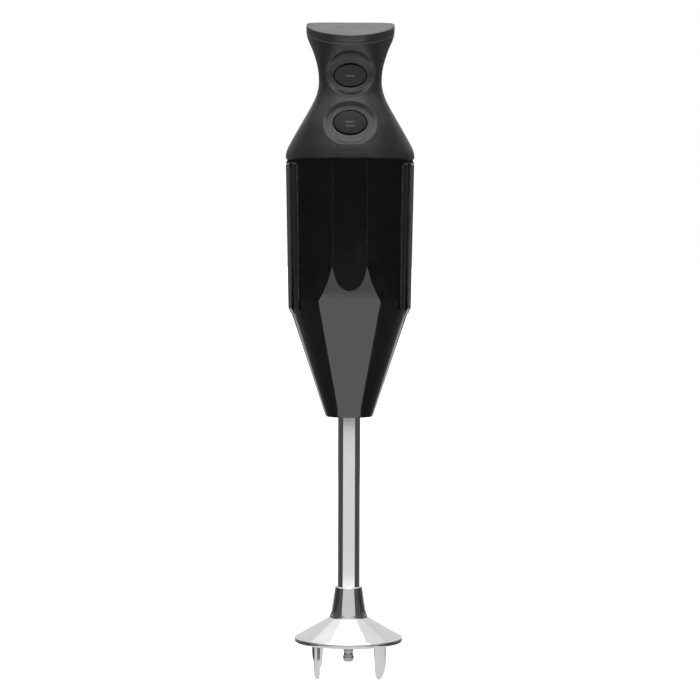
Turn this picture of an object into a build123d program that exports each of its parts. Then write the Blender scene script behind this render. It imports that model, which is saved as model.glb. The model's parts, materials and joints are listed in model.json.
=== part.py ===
from build123d import *
import math
import os

# Immersion blender, millimetres. Origin: centre of the plane through the four leg tips, +Z up along
# the drive axis. The side with the two push buttons faces -Y.
os.makedirs("parts", exist_ok=True)

# ---------------------------------------------------------------- driving dimensions
TOP_Z = 340.0            # highest point, rear edge of the top cap
TOP_SLANT = 14.75        # top cap leans down to the front, degrees
CAP_T = 4.2              # cap height, measured vertically
CAP_BACK_Y = 12.0        # flat back of the handle at the top

SEAM_Z = 268.2           # underside of the handle
HOUSING_TOP_Z = 267.4    # upper edge of the motor housing
HOUSING_R_TOP = 33.2
BODY_EDGE_Z = 195.1      # where the barrel turns into the cone
HOUSING_R_LOW = 32.44
CONE_Z = 134.8           # underside of the cone
CONE_R = 12.48
CONE_SLOPE = (HOUSING_R_LOW - CONE_R) / (BODY_EDGE_Z - CONE_Z)
WALL = 2.2

FACET_Z0 = 197.0         # sloping front facet of the cone: plane, then an arc into the barrel
FACET_P0 = 28.88         # its depth from the axis at FACET_Z0
FACET_SLOPE = 0.284
FACET_ARC_R = 60.0
GROOVE_R = 28.0          # concave strip down the front
GROOVE_D0 = 29.75        # its depth from the axis at z = 200.9
GROOVE_TILT = 0.0182

RIB_CREST_TOP = 33.26    # side grip ribs
RIB_CREST_LOW = 31.8
RIB_TOP_Z = 266.0
RIB_LOW_Z = 191.2
RIB_DEPTH = 0.9
RIB_WIDTH = 9.0          # degrees
RIB_PITCH = 15.25        # degrees
RIB_COUNT = 5

TUBE_R = 5.83
TUBE_BORE_R = 5.0
SPINDLE_R = 2.5
RUN_FIT = 0.04           # radial running clearance of the shafts

HUB_TOP_Z = 46.0
HUB_TOP_R = 7.14
BELL_TOP_Z = 30.0
BELL_TOP_R = 10.0
BELL_RIM_R = 28.15
BELL_RIM_Z = 17.3
BELL_SLOPE = 1.7         # radius gained per mm down

LEG_R = 22.8             # radius of the leg centres
LEG_TWIST = 16.5         # degrees
LEG_T = 2.5

BTN_HI_Z = 310.4         # upper button
BTN_HI_A, BTN_HI_B = 8.2, 5.55
BTN_LO_Z = 285.9         # lower button
BTN_LO_A, BTN_LO_B = 8.4, 5.85
BTN_GAP_X, BTN_GAP_Z = 0.5, 0.75
BTN_TRAVEL = 1.4

STATOR_R = 23.5
STATOR_Z0, STATOR_Z1 = 197.0, 229.0
AIR_BORE_R = 13.3
ARM_R = 12.9
MOTOR_SHAFT_R = 3.0

nodes = {}


def keep(name, shape):
    """Keep a node's solids under its name."""
    solids = list(shape.solids())
    nodes[name] = solids[0] if len(solids) == 1 else Compound(children=solids)
    return shape


def revolve_rz(points):
    """Solid of revolution about Z from a closed (r, z) outline."""
    pts = [Vector(r, 0, z) for r, z in points]
    wire = Wire.make_polygon(pts, close=True)
    return revolve(Face(wire), axis=Axis.Z, revolution_arc=360)


def tube(r_out, r_in, z0, z1):
    body = Pos(0, 0, (z0 + z1) / 2) * Cylinder(r_out, z1 - z0)
    if r_in:
        body -= Pos(0, 0, (z0 + z1) / 2) * Cylinder(r_in, (z1 - z0) + 2)
    return body


def rod(r, z0, z1, x=0.0, y=0.0):
    return Pos(x, y, (z0 + z1) / 2) * Cylinder(r, z1 - z0)


def yrod(r, y0, y1, x=0.0, z=0.0):
    """Cylinder along Y."""
    return Pos(x, (y0 + y1) / 2, z) * Rot(90, 0, 0) * Cylinder(r, abs(y1 - y0))


def box(x0, x1, y0, y1, z0, z1):
    return Pos((x0 + x1) / 2, (y0 + y1) / 2, (z0 + z1) / 2) * Box(x1 - x0, y1 - y0, z1 - z0)


def sector(r0, r1, a0, a1, z0, z1, n=10):
    """Annular sector between two azimuths (degrees from +X)."""
    outer = [(r1 * math.cos(math.radians(a0 + (a1 - a0) * i / n)), r1 * math.sin(math.radians(a0 + (a1 - a0) * i / n))) for i in range(n + 1)]
    p0 = (r0 * math.cos(math.radians(a0)), r0 * math.sin(math.radians(a0)))
    p1 = (r0 * math.cos(math.radians(a1)), r0 * math.sin(math.radians(a1)))
    pm = (r0 * math.cos(math.radians((a0 + a1) / 2)), r0 * math.sin(math.radians((a0 + a1) / 2)))
    om = (r1 * math.cos(math.radians((a0 + a1) / 2)), r1 * math.sin(math.radians((a0 + a1) / 2)))
    w = Wire([Edge.make_three_point_arc(Vector(*outer[0], z0), Vector(*om, z0), Vector(*outer[-1], z0)),
              Edge.make_line(Vector(*outer[-1], z0), Vector(*p1, z0)),
              Edge.make_three_point_arc(Vector(*p1, z0), Vector(*pm, z0), Vector(*p0, z0)),
              Edge.make_line(Vector(*p0, z0), Vector(*outer[0], z0))])
    return extrude(Face(w), amount=z1 - z0, dir=(0, 0, 1))


def ellipse_y(a, b, y0, y1, z):
    """Elliptic cylinder along Y: half-width a in X, half-height b in Z."""
    pl = Plane(origin=(0, max(y0, y1), z), x_dir=(1, 0, 0), z_dir=(0, -1, 0))
    return extrude(pl * Ellipse(a, b), amount=abs(y1 - y0))


def coil(r, wire_r, length, turns):
    """Round-wire spring along +Z from the origin."""
    path = Helix(pitch=(length - 2 * wire_r) / turns, height=length - 2 * wire_r, radius=r)
    path = Pos(0, 0, wire_r) * path
    prof = Plane(origin=path @ 0, z_dir=path % 0) * Circle(wire_r)
    return sweep(prof, path=path, is_frenet=True)


def facet_cut(inset):
    """Everything in front of the sloping facet, pushed inwards by inset."""
    th = math.atan(FACET_SLOPE)
    cz = FACET_Z0 + FACET_ARC_R * math.sin(th)
    cp = FACET_P0 - FACET_ARC_R * math.cos(th)
    r = FACET_ARC_R - inset
    e = math.atan(0.10)
    a0 = (-(cp + r * math.cos(th)), cz - r * math.sin(th))
    am = (-(cp + r * math.cos((th + e) / 2)), cz - r * math.sin((th + e) / 2))
    a1 = (-(cp + r * math.cos(e)), cz - r * math.sin(e))
    low = (a0[0] + FACET_SLOPE * (a0[1] - 120.0), 120.0)
    high = (a1[0] - 0.10 * 40.0, a1[1] + 40.0)
    x = -60.0
    w = Wire([Edge.make_line(Vector(x, *low), Vector(x, *a0)),
              Edge.make_three_point_arc(Vector(x, *a0), Vector(x, *am), Vector(x, *a1)),
              Edge.make_line(Vector(x, *a1), Vector(x, *high)),
              Edge.make_line(Vector(x, *high), Vector(x, -90, high[1])),
              Edge.make_line(Vector(x, -90, high[1]), Vector(x, -90, 120)),
              Edge.make_line(Vector(x, -90, 120), Vector(x, *low))])
    return extrude(Face(w), amount=120, dir=(1, 0, 0))


def groove_cut(inset, z0=150.0, z1=300.0):
    """The concave strip down the front, pushed inwards by inset."""
    zm = (z0 + z1) / 2
    d = GROOVE_D0 + GROOVE_TILT * (zm - 200.9)
    ang = math.degrees(math.atan(GROOVE_TILT))
    cyl = Cylinder(GROOVE_R + inset, z1 - z0 + 10)
    return Pos(0, -(d + GROOVE_R), zm) * Rot(ang, 0, 0) * cyl


# ---------------------------------------------------------------- handle loft
# height, half-width, front depth, back depth, front squareness, back squareness, y of the widest line
HANDLE = [
    (266.0, 33.55, 33.55, 33.55, 2.0, 2.0, 0.0),
    (268.2, 33.35, 33.35, 33.35, 2.0, 2.0, 0.0),
    (271.5, 33.05, 33.0, 32.8, 2.02, 2.0, 0.0),
    (274.8, 31.80, 31.9, 31.2, 2.08, 2.05, 0.0),
    (280.1, 28.90, 29.3, 27.8, 2.3, 2.15, 0.0),
    (285.3, 25.91, 26.6, 24.3, 2.6, 2.3, 0.0),
    (290.5, 22.86, 23.7, 20.9, 2.9, 2.5, 0.0),
    (295.7, 19.92, 20.9, 17.9, 3.2, 2.7, 0.0),
    (300.9, 17.55, 18.6, 15.5, 3.4, 2.85, 0.0),
    (306.1, 16.38, 17.5, 13.9, 3.5, 3.0, 0.0),
    (311.3, 16.40, 17.5, 13.0, 3.5, 3.1, 0.2),
    (316.6, 17.19, 18.9, 12.5, 3.1, 3.3, 1.3),
    (321.2, 18.49, 21.6, 12.2, 2.6, 3.5, 3.2),
    (325.4, 19.93, 24.6, 12.05, 2.15, 3.8, 4.9),
    (329.6, 21.75, 26.5, 12.0, 1.95, 4.2, 5.8),
    (333.5, 22.85, 27.1, 12.0, 1.9, 4.5, 6.0),
    (338.0, 22.9, 27.1, 12.0, 1.9, 4.5, 6.0),
    (343.0, 22.9, 27.1, 12.0, 1.9, 4.5, 6.0),
]


def section(z, a, f, b, nf, nb, yc, inset=0.0, n=32):
    """Closed horizontal section: superellipse, front and back halves of their own depth."""
    pts = []
    for i in range(n):
        t = 2 * math.pi * (i + 0.5) / n
        c, s = math.cos(t), math.sin(t)
        m = nb if s > 0 else nf
        depth = (b - yc if s > 0 else f + yc) - inset
        # angle-preserving samples of the superellipse
        k = (abs(c) ** m + abs(s) ** m) ** (-1.0 / m)
        pts.append(Vector((a - inset) * c * k, yc + depth * s * k, z))
    return Face(Wire([Edge.make_spline(pts, periodic=True)]))


def handle_loft(inset, rows):
    return loft([section(*row, inset=inset) for row in rows], ruled=False)


def slant_z(y, drop=0.0):
    return TOP_Z - (CAP_BACK_Y - y) * math.tan(math.radians(TOP_SLANT)) - drop


def slant_half_space(drop, above):
    """Big wedge on one side of the slanted plane that lies `drop` below the top face."""
    z_b, z_f = slant_z(80, drop), slant_z(-80, drop)
    far = 400 if above else 150
    w = Wire.make_polygon([Vector(-80, 80, z_b), Vector(-80, -80, z_f), Vector(-80, -80, far), Vector(-80, 80, far)], close=True)
    return extrude(Face(w), amount=160, dir=(1, 0, 0))


outer = handle_loft(0.0, HANDLE)
inner = handle_loft(2.4, HANDLE)
dish_floor = handle_loft(1.2, HANDLE)
spigot_skin = handle_loft(2.7, HANDLE)
spigot_core = handle_loft(4.3, HANDLE)

# ---------------------------------------------------------------- top cap
cap = outer & slant_half_space(CAP_T, True)
cap -= slant_half_space(0.0, True)
try:
    top_face = cap.faces().sort_by(lambda f: f.normal_at().Z * 1000 + f.center().Z)[-1]
    cap = fillet(top_face.edges(), 0.9)
except Exception as exc:
    print("cap edge left sharp:", exc)
# shallow hollow under the cap, then the rim that drops into the handle
cap_hollow = (spigot_core & slant_half_space(CAP_T, True)) - slant_half_space(2.0, True)
cap -= cap_hollow
rim = (spigot_skin - spigot_core) & slant_half_space(CAP_T + 4.0, True)
rim -= slant_half_space(CAP_T, True)
cap += rim
keep("top_cap", cap)

# ---------------------------------------------------------------- handle shell
shell = outer - slant_half_space(CAP_T, True)
shell -= box(-60, 60, -60, 60, 200, SEAM_Z)
# round finger dishes around the buttons
for da, db, dz in ((12.7, 11.3, 311.4), (13.7, 11.5, 285.6)):
    shell -= (ellipse_y(da, db, -60, -2, dz) & outer) - dish_floor
# the front strip of the housing runs out in the foot of the handle
shell -= groove_cut(0.0, 150, 285)
inner_cut = inner - slant_half_space(CAP_T - 3.0, True)
inner_cut -= box(-60, 60, -60, 60, 200, SEAM_Z - 3.0)
inner_cut -= groove_cut(2.0, 150, 285)
shell -= inner_cut
shell -= ellipse_y(BTN_HI_A + BTN_GAP_X, BTN_HI_B + BTN_GAP_Z, -30, -5, BTN_HI_Z)
shell -= ellipse_y(BTN_LO_A + BTN_GAP_X, BTN_LO_B + BTN_GAP_Z, -45, -8, BTN_LO_Z)

# bosses for the joint ring screws, inside the wide foot of the handle
BOSS_R = 23.5
for ang in (90, 210, 330):
    bx, by = BOSS_R * math.cos(math.radians(ang)), BOSS_R * math.sin(math.radians(ang))
    boss = (rod(3.6, 270.0, 283.0, bx, by) + Rot(0, 0, ang) * box(BOSS_R, 40.0, -2.2, 2.2, 274.5, 283.0)) & dish_floor
    shell += boss
    shell -= rod(1.3, 269.0, 279.0, bx, by)
# bosses on the back wall for the circuit board
for bx, bz in ((-6.8, 279.9), (6.8, 279.9), (-6.8, 317.3), (6.8, 317.3)):
    post = yrod(2.4, 3.7, 34.0, bx, bz) & dish_floor
    shell += post
    shell -= yrod(0.9, 3.0, 9.5, bx, bz)
# cable inlet in the back, near the top
GLAND_Z = 323.4
shell -= yrod(5.6, 5.0, 20.0, 0, GLAND_Z)
shell -= yrod(7.6, 11.4, 20.0, 0, GLAND_Z)
# bosses for the cable clamp
for bx in (-9.6, 9.6):
    post = (yrod(2.2, 4.0, 20.0, bx, GLAND_Z) & dish_floor) - yrod(5.6, 3.0, 20.0, 0, GLAND_Z)
    shell += post
    shell -= yrod(0.8, 3.0, 9.0, bx, GLAND_Z)
keep("handle_shell", shell)

# ---------------------------------------------------------------- motor housing


def body_r(z):
    if z >= BODY_EDGE_Z:
        return HOUSING_R_LOW + (z - BODY_EDGE_Z) * (HOUSING_R_TOP - HOUSING_R_LOW) / (HOUSING_TOP_Z - BODY_EDGE_Z)
    return CONE_R + (z - CONE_Z) * CONE_SLOPE


hb = revolve_rz([(0, CONE_Z), (CONE_R - 0.5, CONE_Z), (CONE_R, CONE_Z + 0.6), (HOUSING_R_LOW, BODY_EDGE_Z),
                 (body_r(HOUSING_TOP_Z - 1.1), HOUSING_TOP_Z - 1.1), (HOUSING_R_TOP - 0.55, HOUSING_TOP_Z), (0, HOUSING_TOP_Z)])
# side grips: a shallow recess on each side with upright ribs standing in it
crest_slope = (RIB_CREST_TOP - RIB_CREST_LOW) / (RIB_TOP_Z - RIB_LOW_Z)


def crest(z):
    return RIB_CREST_LOW + (z - RIB_LOW_Z) * crest_slope


REC_Z0 = 185.0
rec_ring = revolve_rz([(crest(REC_Z0) - RIB_DEPTH, REC_Z0), (60, REC_Z0), (60, RIB_TOP_Z), (crest(RIB_TOP_Z) - RIB_DEPTH, RIB_TOP_Z)])


def wedge(a0, a1, z0=100.0, z1=320.0, r=80.0):
    """Radial wedge between two azimuths measured from the front, on the +X side."""
    p = [Vector(0, 0, z0)]
    for k in range(5):
        a = math.radians(a0 + (a1 - a0) * k / 4)
        p.append(Vector(r * math.sin(a), -r * math.cos(a), z0))
    return extrude(Face(Wire.make_polygon(p, close=True)), amount=z1 - z0, dir=(0, 0, 1))


span = (RIB_COUNT - 1) * RIB_PITCH / 2 + RIB_WIDTH / 2 + 4.0
recess = rec_ring & wedge(90 - span, 90 + span)
hb -= recess
hb -= recess.mirror(Plane.YZ)
rib_ring = revolve_rz([(crest(RIB_LOW_Z) - 2.2, RIB_LOW_Z - 2.9), (crest(RIB_LOW_Z) - 1.35, RIB_LOW_Z - 2.9), (crest(RIB_LOW_Z), RIB_LOW_Z),
                       (crest(RIB_TOP_Z - 0.9), RIB_TOP_Z - 0.9), (crest(RIB_TOP_Z) - 0.5, RIB_TOP_Z), (crest(RIB_TOP_Z) - 2.2, RIB_TOP_Z)])
ribs = None
for k in range(RIB_COUNT):
    mid = 90 + (k - (RIB_COUNT - 1) / 2) * RIB_PITCH
    one = rib_ring & wedge(mid - RIB_WIDTH / 2, mid + RIB_WIDTH / 2)
    long_edges = [e for e in one.edges() if 60 < e.length < 76 and (e @ 0.5).X ** 2 + (e @ 0.5).Y ** 2 > (crest(228) - 0.3) ** 2]
    try:
        one = fillet(long_edges, 0.45)
    except Exception as exc:
        print("rib edge left sharp:", exc)
    hb += one
    hb += one.mirror(Plane.YZ)
hb -= facet_cut(0.0)
hb -= groove_cut(0.0)

FLOOR_Z = 156.0
cavity = revolve_rz([(0, FLOOR_Z), (body_r(FLOOR_Z) - 2.4, FLOOR_Z), (HOUSING_R_LOW - 3.2, BODY_EDGE_Z - 0.6), (30.2, HOUSING_TOP_Z + 1), (0, HOUSING_TOP_Z + 1)])
cavity -= facet_cut(WALL)
cavity -= groove_cut(WALL)
hb -= cavity
TOWER_Z = 184.0
hb += tube(14.2, 0, FLOOR_Z - 2, TOWER_Z)
for k in range(4):
    web = Rot(0, 0, 45 + 90 * k) * box(12.5, 30, -0.8, 0.8, FLOOR_Z - 1, 182.0)
    hb += web & (cavity + tube(14, 0, FLOOR_Z - 1, TOWER_Z))
hb -= tube(12.2, 0, 158.0, TOWER_Z + 1)
hb -= tube(TUBE_R, 0, CONE_Z - 1, 158.5)
hb -= tube(10.0, 0, 152.0, 158.5)
hb -= tube(8.2, 0, CONE_Z - 1, CONE_Z + 2.6)
keep("motor_housing", hb)

# rubber seal under the cone, steel tube with its collar, collar clamp ring
keep("tube_seal", revolve_rz([(TUBE_R, CONE_Z - 0.3), (7.4, CONE_Z - 0.3), (8.2, CONE_Z + 0.5), (8.2, CONE_Z + 2.6), (TUBE_R, CONE_Z + 2.6)]))
keep("shaft_tube", revolve_rz([(TUBE_BORE_R, 36.5), (TUBE_R, 36.5), (TUBE_R, 152.0), (9.2, 152.0), (9.2, 153.6), (TUBE_BORE_R, 153.6)]))
clamp_ring = tube(10.0, 5.6, 153.6, 157.8)
for k in range(4):
    clamp_ring -= Rot(0, 0, 90 * k) * box(8.6, 11, -1.2, 1.2, 155.6, 158.5)
keep("tube_clamp_ring", clamp_ring)

# ---------------------------------------------------------------- joint ring between handle and housing
jr = revolve_rz([(26.6, 249.0), (29.6, 249.0), (29.8, 250.0), (30.0, 262.0), (30.0, HOUSING_TOP_Z), (HOUSING_R_TOP - 0.6, HOUSING_TOP_Z), (HOUSING_R_TOP - 0.6, SEAM_Z),
                 (30.0, SEAM_Z), (30.0, 272.2), (27.6, 272.2), (26.6, 270.8)])
# flats at the front clear the concave strip
jr -= box(-30, 30, -45, -30.2, HOUSING_TOP_Z - 0.4, SEAM_Z + 0.4)
jr -= box(-30, 30, -45, -28.2, 240, HOUSING_TOP_Z) + box(-30, 30, -45, -28.2, SEAM_Z, 290)
for ang in (90, 210, 330):
    bx, by = BOSS_R * math.cos(math.radians(ang)), BOSS_R * math.sin(math.radians(ang))
    jr -= rod(3.75, 269.8, 284.0, bx, by)
for ang in (90, 210, 330):
    bx, by = BOSS_R * math.cos(math.radians(ang)), BOSS_R * math.sin(math.radians(ang))
    lug = rod(3.8, 266.6, 270.0, bx, by) + Rot(0, 0, ang) * box(BOSS_R, 27.4, -2.6, 2.6, 266.6, 270.0)
    jr += lug - rod(1.65, 260.0, 272.0, bx, by)
keep("joint_ring", jr)
screws = None
for ang in (90, 210, 330):
    bx, by = BOSS_R * math.cos(math.radians(ang)), BOSS_R * math.sin(math.radians(ang))
    s = rod(1.3, 266.6, 278.0, bx, by) + rod(2.7, 264.8, 266.6, bx, by)
    s -= box(bx - 0.35, bx + 0.35, by - 1.7, by + 1.7, 264.0, 265.6)
    s -= box(bx - 1.7, bx + 1.7, by - 0.35, by + 0.35, 264.0, 265.6)
    screws = s if screws is None else screws + s
keep("joint_screws", screws)

# ---------------------------------------------------------------- bell end
hub = revolve_rz([(TUBE_R, 36.5), (TUBE_R, HUB_TOP_Z), (HUB_TOP_R - 0.35, HUB_TOP_Z), (HUB_TOP_R, HUB_TOP_Z - 0.4), (8.35, 37.5), (9.05, 33.2), (9.35, 31.9), (9.8, 30.9), (9.95, 30.4),
                  (9.9, BELL_TOP_Z), (7.5, BELL_TOP_Z), (7.5, 27.2), (6.0, 27.2), (6.0, 34.4), (TUBE_BORE_R, 34.4), (TUBE_BORE_R, 36.5)])
keep("hub_sleeve", hub)

lip = 1.15
cone_low_z = BELL_TOP_Z - (BELL_RIM_R - 0.35 - BELL_TOP_R) / BELL_SLOPE
bell_pts = [(7.5, BELL_TOP_Z), (BELL_TOP_R, BELL_TOP_Z), (BELL_RIM_R - 0.5, cone_low_z + 0.12), (BELL_RIM_R - 0.12, cone_low_z - 0.22), (BELL_RIM_R, cone_low_z - 0.6)]
zr = BELL_RIM_Z + lip
for k in range(0, 7):
    a = math.radians(15 * k)
    bell_pts.append((BELL_RIM_R - lip + lip * math.cos(a), zr - lip * math.sin(a)))
bell_pts += [(26.6, BELL_RIM_Z), (26.3, BELL_RIM_Z + 0.3), (26.3, BELL_TOP_Z - 1.04 - (26.3 - BELL_TOP_R) / BELL_SLOPE), (9.76, 29.1), (7.5, 29.1)]
bell = revolve_rz(bell_pts)
leg_uz = [(3.15, 22.6), (3.15, 9.0), (2.95, 6.2), (2.35, 3.7), (1.35, 1.5), (0.65, 0.3), (0.1, 0.0), (-0.7, 0.0), (-1.35, 0.5), (-1.95, 1.8), (-2.35, 4.0), (-2.55, 6.5), (-2.85, 12.0), (-3.15, 18.0), (-3.3, 22.6)]


def leg_blank(pts):
    w = Wire([Edge.make_line(Vector(pts[-1][0], 0, pts[-1][1]), Vector(pts[0][0], 0, pts[0][1])),
              Edge.make_line(Vector(pts[0][0], 0, pts[0][1]), Vector(pts[1][0], 0, pts[1][1])),
              Edge.make_spline([Vector(u, 0, z) for u, z in pts[1:7]], tangents=[Vector(0, 0, -1), Vector(-1, 0, 0)]),
              Edge.make_line(Vector(pts[6][0], 0, 0), Vector(pts[7][0], 0, 0)),
              Edge.make_spline([Vector(u, 0, z) for u, z in pts[7:]], tangents=[Vector(-1, 0, 0), Vector(0, 0, 1)])])
    solid = extrude(Face(w), amount=LEG_T / 2, dir=(0, 1, 0), both=True)
    return solid


blank = leg_blank(leg_uz)
rim_core = revolve_rz([(0, 10), (60, 10), (60, 17.5), (26.5, 17.5), (26.5, BELL_TOP_Z - 0.5 - (26.5 - BELL_TOP_R) / BELL_SLOPE), (9.9, 29.6), (0, 29.6)]) + box(-60, 60, -60, 60, -1, 12)
for k in range(4):
    leg = Rot(0, 0, 90 * k) * Pos(LEG_R * math.cos(math.radians(-45)), LEG_R * math.sin(math.radians(-45)), 0) * Rot(0, 0, -LEG_TWIST) * blank
    bell += leg & rim_core
keep("bell_guard", bell)
keep("bell_lock_ring", revolve_rz([(7.5, 27.2), (9.0, 27.2), (9.6, 27.8), (9.6, 29.1), (7.5, 29.1)]))
keep("lip_seal", revolve_rz([(SPINDLE_R + RUN_FIT, 28.6), (3.2, 28.6), (3.6, 30.0), (6.0, 30.0), (6.0, 34.4), (SPINDLE_R + 1.0, 34.4), (SPINDLE_R + 1.0, 32.6), (SPINDLE_R + 0.6, 31.4), (SPINDLE_R + RUN_FIT, 30.6)]))
keep("seal_clip", tube(6.0, 3.9, 28.9, 30.0))
keep("lower_bush", tube(TUBE_BORE_R, SPINDLE_R + RUN_FIT, 37.0, 51.0))
keep("upper_bush", tube(TUBE_BORE_R, SPINDLE_R + RUN_FIT, 138.0, 152.0))

# ---------------------------------------------------------------- spindle
spindle = revolve_rz([(0, 6.7), (1.9, 6.7), (2.45, 7.1), (2.78, 7.8), (2.85, 8.7), (2.78, 9.5), (2.42, 10.3), (2.34, 11.0), (2.4, 11.8), (2.62, 12.6), (SPINDLE_R, 13.4),
                      (SPINDLE_R, 161.6), (2.1, 162.0), (0, 162.0)])
spindle -= box(-4, 4, -0.55, 0.55, 5.0, 8.3)
keep("spindle", spindle)

# ---------------------------------------------------------------- jaw coupling
JAW_R0, JAW_R1 = 4.0, 8.6
driven = tube(JAW_R1, 0, 158.6, 163.2) - rod(SPINDLE_R, 158, 162.0)
driver = tube(JAW_R1, 0, 170.6, 175.2) - rod(MOTOR_SHAFT_R, 171.6, 176)
for k in range(3):
    driven += sector(JAW_R0, JAW_R1, 120 * k - 25, 120 * k + 25, 163.0, 169.9)
    driver += sector(JAW_R0, JAW_R1, 120 * k + 35, 120 * k + 85, 163.9, 170.8)
keep("coupling_driven_half", driven)
keep("coupling_motor_half", driver)

# ---------------------------------------------------------------- motor: turning parts
keep("motor_shaft", revolve_rz([(0, 171.6), (2.6, 171.6), (MOTOR_SHAFT_R, 172.0), (MOTOR_SHAFT_R, 264.6), (2.6, 265.0), (0, 265.0)]))
arm = tube(ARM_R, MOTOR_SHAFT_R, STATOR_Z0 + 1, STATOR_Z1 - 1)
SLOTS = 12
for k in range(SLOTS):
    a = 360 / SLOTS * k
    arm -= Rot(0, 0, a) * (rod(1.75, STATOR_Z0, STATOR_Z1, 9.7, 0) + box(10.5, 14, -0.6, 0.6, STATOR_Z0, STATOR_Z1))
keep("armature_core", arm)
wind = revolve_rz([(4.2, 190.6 + 3.2), (6.0, 193.4), (10.2, 193.4), (11.7, 194.8), (11.9, 196.4), (11.2, 198.0), (4.2, 198.0)])
wind += revolve_rz([(4.2, 228.0), (11.2, 228.0), (11.9, 229.6), (11.7, 231.4), (10.2, 233.0), (6.0, 233.4), (4.2, 232.8)])
for k in range(SLOTS):
    wind += Rot(0, 0, 360 / SLOTS * k) * rod(1.6, 197.5, 228.5, 9.7, 0)
keep("armature_windings", wind)
comm = tube(8.4, MOTOR_SHAFT_R, 236.0, 247.5) + tube(9.2, MOTOR_SHAFT_R, 234.6, 236.4)
for k in range(24):
    comm -= Rot(0, 0, 15 * k + 7.5) * box(7.4, 9.6, -0.2, 0.2, 234.0, 248.0)
keep("commutator", comm)
fan = tube(5.0, MOTOR_SHAFT_R, 257.0, 264.2) + tube(19.4, 4.0, 257.0, 258.4)
for k in range(9):
    fan += Rot(0, 0, 40 * k) * (Pos(12.2, 0, 260.8) * Rot(0, 0, 24) * Box(13.4, 1.1, 5.6))
keep("cooling_fan", fan & tube(19.4, 0, 256, 265))

# ---------------------------------------------------------------- motor: fixed parts
core = extrude(Circle(STATOR_R) & Rectangle(45.6, 41.0), amount=STATOR_Z1 - STATOR_Z0)
core = Pos(0, 0, STATOR_Z0) * core
core -= tube(18.7, 0, STATOR_Z0 - 1, STATOR_Z1 + 1)
core += box(-7.0, 7.0, -19.3, 19.3, STATOR_Z0, STATOR_Z1) - tube(AIR_BORE_R, 0, STATOR_Z0 - 1, STATOR_Z1 + 1)
for mid in (90, 270):
    core += sector(AIR_BORE_R, 15.2, mid - 55, mid + 55, STATOR_Z0, STATOR_Z1)
SCREW_X = 20.7
for sx in (-SCREW_X, SCREW_X):
    core -= rod(1.65, STATOR_Z0 - 1, STATOR_Z1 + 1, sx, 0)
keep("stator_core", core)
coils = None
for mid in (90, 270):
    c = sector(15.45, 18.4, mid - 56, mid + 56, 192.8, 233.2)
    c -= sector(14.8, 18.9, mid - 28.0, mid + 28.0, 196.7, 229.3)
    coils = c if coils is None else coils + c
keep("field_coils", coils)

lowb = box(-SCREW_X, SCREW_X, -5.2, 5.2, 187.2, 190.4) + tube(9.4, 0, 184.6, 190.4)
for sx in (-1, 1):
    lowb += rod(3.1, 187.2, STATOR_Z0, sx * SCREW_X, 0) & (cavity & tube(25, 0, 180, 240))
    lowb += rod(5.2, 187.2, 190.4, sx * (SCREW_X - 2.4), 0)
    lowb -= rod(1.5, 186, STATOR_Z0 + 1, sx * SCREW_X, 0)
lowb -= tube(6.6, 0, 186.0, 191.0) + tube(4.4, 0, 184, 187)
keep("motor_bracket_low", lowb)
keep("motor_bearing_low", tube(6.6, MOTOR_SHAFT_R + RUN_FIT, 186.0, 191.4))
keep("motor_mount_low", revolve_rz([(9.4, TOWER_Z), (14.0, TOWER_Z), (14.0, 187.2), (9.4, 187.2)]))

topb = tube(22.3, 0, 250.0, 253.2)
for ang in (45, 135, 225, 315):
    topb -= sector(11.5, 18.0, ang - 24, ang + 24, 249, 254)
topb += tube(8.6, 0, 248.6, 254.6)
for sx in (-1, 1):
    topb += rod(3.1, STATOR_Z1, 250.5, sx * SCREW_X, 0) & tube(23.6, 0, 220, 260)
    topb -= rod(1.65, STATOR_Z1 - 1, 254, sx * SCREW_X, 0)
topb -= tube(6.6, 0, 249.6, 256.0) + tube(4.4, 0, 248, 250)
keep("motor_bracket_high", topb)
keep("motor_bearing_high", tube(6.6, MOTOR_SHAFT_R + RUN_FIT, 249.6, 255.4))
keep("motor_mount_high", tube(26.6, 22.3, 250.6, 253.1) - groove_cut(WALL + 0.15))
bolts = None
for sx in (-SCREW_X, SCREW_X):
    s = rod(1.5, 187.6, 253.3, sx, 0) + rod(2.4, 253.2, 255.2, sx, 0)
    s -= box(sx - 1.6, sx + 1.6, -0.3, 0.3, 254.4, 256)
    bolts = s if bolts is None else bolts + s
keep("motor_screws", bolts)

holders, brushes, springs = None, None, None
for s in (-1, 1):
    h = box(-3.9, 3.9, 10.0, 20.6, 238.0, 250.0) - box(-2.6, 2.6, 9.0, 19.6, 239.4, 245.2)
    b = box(-2.5, 2.5, 8.0, 15.4, 239.6, 245.0) - tube(8.5, 0, 230, 250)
    p = Pos(0, 15.4, 242.3) * Rot(-90, 0, 0) * coil(1.6, 0.25, 4.2, 5)
    if s < 0:
        h, b, p = (Rot(0, 0, 180) * t for t in (h, b, p))
    holders = h if holders is None else holders + h
    brushes = b if brushes is None else brushes + b
    springs = [p] if springs is None else springs + [p]
keep("brush_holders", holders)
keep("carbon_brushes", brushes)
nodes["brush_springs"] = Compound(children=[t.solids()[0] for t in springs])

# ---------------------------------------------------------------- buttons and switchgear
# button faces are slightly crowned; the oval lip behind the wall keeps each button in


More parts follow.
